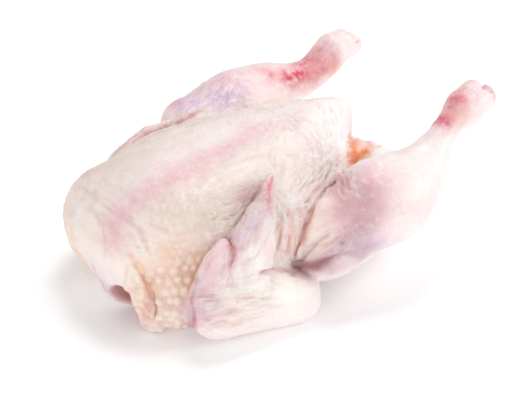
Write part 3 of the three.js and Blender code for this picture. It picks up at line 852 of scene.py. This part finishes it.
# The nodes of a material, whose textures lie at the places in self.place
class Nodes:
    def __init__(self, name):
        self.place = None
        self.material = bpy.data.materials.new(name)
        self.material.use_nodes = True
        self.tree = self.material.node_tree
        self.tree.nodes.clear()
        self.output = self.tree.nodes.new("ShaderNodeOutputMaterial")

    def add(self, kind, inputs=None, **settings):
        made = self.tree.nodes.new(kind)
        for key, value in settings.items():
            setattr(made, key, value)
        for key, value in (inputs or {}).items():
            self.feed(made.inputs[key], value)
        return made

    def feed(self, socket, value):
        if isinstance(value, bpy.types.NodeSocket):
            self.tree.links.new(value, socket)
        else:
            socket.default_value = value

    def mask(self, name):
        return self.add("ShaderNodeAttribute", attribute_name=name).outputs["Fac"]

    def math(self, operation, a, b=0.0):
        made = self.add("ShaderNodeMath", operation=operation)
        self.feed(made.inputs[0], a)
        self.feed(made.inputs[1], b)
        return made.outputs[0]

    def mix(self, factor, a, b):
        made = self.add("ShaderNodeMix", data_type="RGBA")
        self.feed(made.inputs[0], factor)
        self.feed(made.inputs[6], a)
        self.feed(made.inputs[7], b)
        return made.outputs[2]

    # A tint laid over a colour
    def lay(self, base, tint, strength):
        return self.mix(strength, base, colour(*tint))

    # A mask weakened to a part of its strength
    def share(self, name, part):
        return self.math("MULTIPLY", self.mask(name), part)

    # A bump whose distance is in metres, on top of an earlier one
    def bump(self, strength, distance, height, normal=None):
        made = self.add("ShaderNodeBump", {"Strength": strength, "Distance": distance, "Height": height})
        if normal is not None:
            self.feed(made.inputs["Normal"], normal)
        return made.outputs[0]

    def noise(self, scale, detail=3.0, roughness=0.55):
        made = self.add("ShaderNodeTexNoise", {"Scale": scale, "Detail": detail, "Roughness": roughness})
        self.feed(made.inputs["Vector"], self.place)
        return made.outputs["Fac"]

    def cells(self, scale, feature="F1"):
        made = self.add("ShaderNodeTexVoronoi", {"Scale": scale}, feature=feature)
        self.feed(made.inputs["Vector"], self.place)
        return made.outputs["Distance"]

    # Noise drawn out along a way over the skin, as fine lines from 0 to 1
    def lines(self, way, spacing):
        turn = Vector(way).rotation_difference(Vector((1, 0, 0))).to_euler()
        turned = self.add("ShaderNodeMapping", {"Vector": self.place, "Rotation": turn})
        fine = 1 / (spacing * MM)
        drawn = self.add("ShaderNodeMapping", {"Vector": turned.outputs[0], "Scale": (fine / 7, fine, fine)})
        made = self.add("ShaderNodeTexNoise", {"Vector": drawn.outputs[0], "Scale": 0.5, "Detail": 2.0,
                                               "Distortion": 0.4})
        off = self.math("ABSOLUTE", self.math("SUBTRACT", made.outputs["Fac"], 0.5))
        return self.range(off, 0.0, 0.1, 1.0, 0.0)

    def range(self, value, low, high, new_low=0.0, new_high=1.0):
        made = self.add("ShaderNodeMapRange", {"Value": value, "From Min": low, "From Max": high,
                                               "To Min": new_low, "To Max": new_high})
        return made.outputs[0]


# The shader's colour for one written as it looks, from 0 to 255
def colour(r, g, b):
    linear = [((c / 255 + 0.055) / 1.055) ** 2.4 for c in (r, g, b)]
    return (*linear, 1.0)


# Tints of the stains and of the painted light, in the order that they are laid over each other
TINTS = [("painted_light", (255, 253, 252)), ("beige", (220, 204, 192)), ("yellow", (250, 232, 206)),
         ("pink", (236, 176, 192)), ("lilac", (204, 172, 208)), ("orange", (240, 140, 72)),
         ("red", (214, 74, 100))]
# Tint of the painted shade
SHADE_TINT = (150, 78, 90)
LIGHT_SKIN = (251, 241, 239)
ROSY_SKIN = (248, 231, 229)
SPECKLE = (232, 194, 190)
FLESH = (206, 120, 116)
FAT = (252, 224, 196)
FINE_LINE = (255, 250, 247)
GOOSE_SKIN = (221, 182, 162)
PORE = (254, 246, 242)
PIMPLE = (252, 235, 219)
FOLD_CREASE_TINT = (230, 156, 142)
# Painted shade in the valleys of the fine wrinkles
VALLEY_SHADE = (214, 172, 166)
NECK_HOLE_TINT = (214, 148, 144)


# All the sets of hair-fine lines together, each where its mask is
def skin_lines(n, ways):
    lines = 0.0
    for name, _, _, spacing in HAIR_LINES:
        lines = n.math("ADD", n.math("MULTIPLY", n.mask(name), n.lines(ways[name], spacing)), lines)
    return lines


# The skin's colour: its mottled ground, the stains and painted light, then what the relief brings with it
def skin_colour(n, lines, pores):
    mottle = n.range(n.noise(170, 4), 0.35, 0.65, 0.6, 1.2)
    base = n.mix(n.range(n.noise(60, 4), 0.35, 0.65), colour(*LIGHT_SKIN), colour(*ROSY_SKIN))
    base = n.lay(base, SPECKLE, n.range(n.noise(420, 4), 0.52, 0.7, 0.0, 0.2))
    base = n.lay(base, FLESH, n.share("flesh", 0.8))
    base = n.lay(base, FAT, n.share("fat", 0.6))
    for name, tint in TINTS:
        strength = n.mask(name) if name == "orange" else n.math("MULTIPLY", n.mask(name), mottle)
        base = n.lay(base, tint, strength)
    base = n.lay(base, FINE_LINE, n.math("MULTIPLY", lines, 0.3))
    goose = n.math("MULTIPLY", n.mask("goose"), n.range(n.noise(110, 3), 0.35, 0.65, 0.25, 0.7))
    base = n.lay(base, GOOSE_SKIN, goose)
    base = n.lay(base, PORE, n.range(pores, 0.12, 0.3, 0.22, 0.0))
    base = n.lay(base, PIMPLE, n.share("bumps", 0.7))
    base = n.lay(base, FOLD_CREASE_TINT, n.share("creases", 0.2))
    # Painted shade in the valleys of the wrinkles
    base = n.lay(base, VALLEY_SHADE, n.share("valleys", 0.35))
    # Painted shade along creases, beside the wing, between wing and thigh, on the thigh and on the near flank
    base = n.lay(base, SHADE_TINT, n.mask("shade"))
    return n.lay(base, NECK_HOLE_TINT, n.share("dark", 0.85))


# The skin's finest relief: grain, a net of fine cracks, dimples round the pores, and the hair-fine lines
def skin_bumps(n, lines, pores):
    normal = n.bump(0.35, 0.0006, n.noise(620, 4))
    normal = n.bump(0.4, 0.0004, n.cells(520, "DISTANCE_TO_EDGE"), normal)
    normal = n.bump(0.35, 0.0005, n.range(pores, 0.1, 0.4, 1.0, 0.0), normal)
    return n.bump(0.6, 0.0005, lines, normal)


def skin_material(ways):
    n = Nodes("skin")
    n.place = n.add("ShaderNodeTexCoord").outputs["Object"]
    lines = skin_lines(n, ways)
    pores = n.cells(330)
    skin = n.add("ShaderNodeBsdfPrincipled", {
        "Base Color": skin_colour(n, lines, pores), "Normal": skin_bumps(n, lines, pores),
        "Roughness": n.range(n.noise(140), 0.3, 0.7, 0.36, 0.52),
        "Subsurface Weight": 0.2, "Subsurface Scale": 0.002, "Coat Weight": 0.2, "Coat Roughness": 0.22,
        "Subsurface Radius": (1.0, 0.35, 0.2)})
    n.feed(n.output.inputs["Surface"], skin.outputs[0])
    return n.material


def make_camera(shift):
    data = bpy.data.cameras.new("camera")
    data.sensor_width = SENSOR_MM
    data.lens = FOCAL_PIXELS / IMAGE_SIZE[0] * SENSOR_MM
    camera = bpy.data.objects.new("camera", data)
    camera.location = (Vector(CAMERA_PLACE) + Vector([float(s) for s in shift])) * MM
    camera.rotation_euler = Vector(camera_axes()[2]).to_track_quat("-Z", "Y").to_euler()
    bpy.context.scene.collection.objects.link(camera)
    bpy.context.scene.camera = camera


def area_light(name, place, target, size, power, tint=(1, 1, 1)):
    data = bpy.data.lights.new(name, "AREA")
    data.shape = "DISK"
    data.size = size
    data.energy = power
    data.color = tint
    lamp = bpy.data.objects.new(name, data)
    lamp.location = place
    lamp.rotation_euler = (Vector(target) - Vector(place)).to_track_quat("-Z", "Y").to_euler()
    bpy.context.scene.collection.objects.link(lamp)


def make_floor():
    half = 6.0
    corners = [(-half, -half, 0), (half, -half, 0), (half, half, 0), (-half, half, 0)]
    mesh = bpy.data.meshes.new("floor")
    mesh.from_pydata(corners, [], [(0, 1, 2, 3)])
    floor = bpy.data.objects.new("floor", mesh)
    bpy.context.scene.collection.objects.link(floor)
    n = Nodes("floor")
    paint = n.add("ShaderNodeBsdfPrincipled", {
        "Base Color": colour(250, 250, 251), "Roughness": 0.8,
        "Emission Color": (1, 1, 1, 1), "Emission Strength": 0.12})
    n.feed(n.output.inputs["Surface"], paint.outputs[0])
    mesh.materials.append(n.material)


def make_light():
    world = bpy.data.worlds.new("studio")
    world.use_nodes = True
    background = world.node_tree.nodes["Background"]
    background.inputs["Color"].default_value = (1, 1, 1, 1)
    background.inputs["Strength"].default_value = 0.55
    bpy.context.scene.world = world
    middle = (0, 0, 0.04)
    area_light("key", (0.25, 0.2, 1.0), middle, 0.4, 3.6, (1.0, 0.99, 0.97))
    area_light("fill", (0.65, -0.9, 0.5), middle, 0.6, 3.4)
    area_light("rim", (1.0, 0.35, 0.6), (0, 0, 0.06), 0.6, 1.5)
    area_light("front", (-1.0, -0.55, 0.4), middle, 0.6, 3.3)


P, triangles, skin_masks, line_ways, shift = skin_mesh()
chicken = make_object("chicken_skin", P, triangles)
for mask_name, mask_values in skin_masks.items():
    set_mask(chicken, mask_name, mask_values)
chicken.data.materials.append(skin_material(line_ways))
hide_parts("chicken")
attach(chicken, "root")

make_camera(shift)
make_floor()
make_light()
bpy.context.scene.view_settings.view_transform = "Standard"
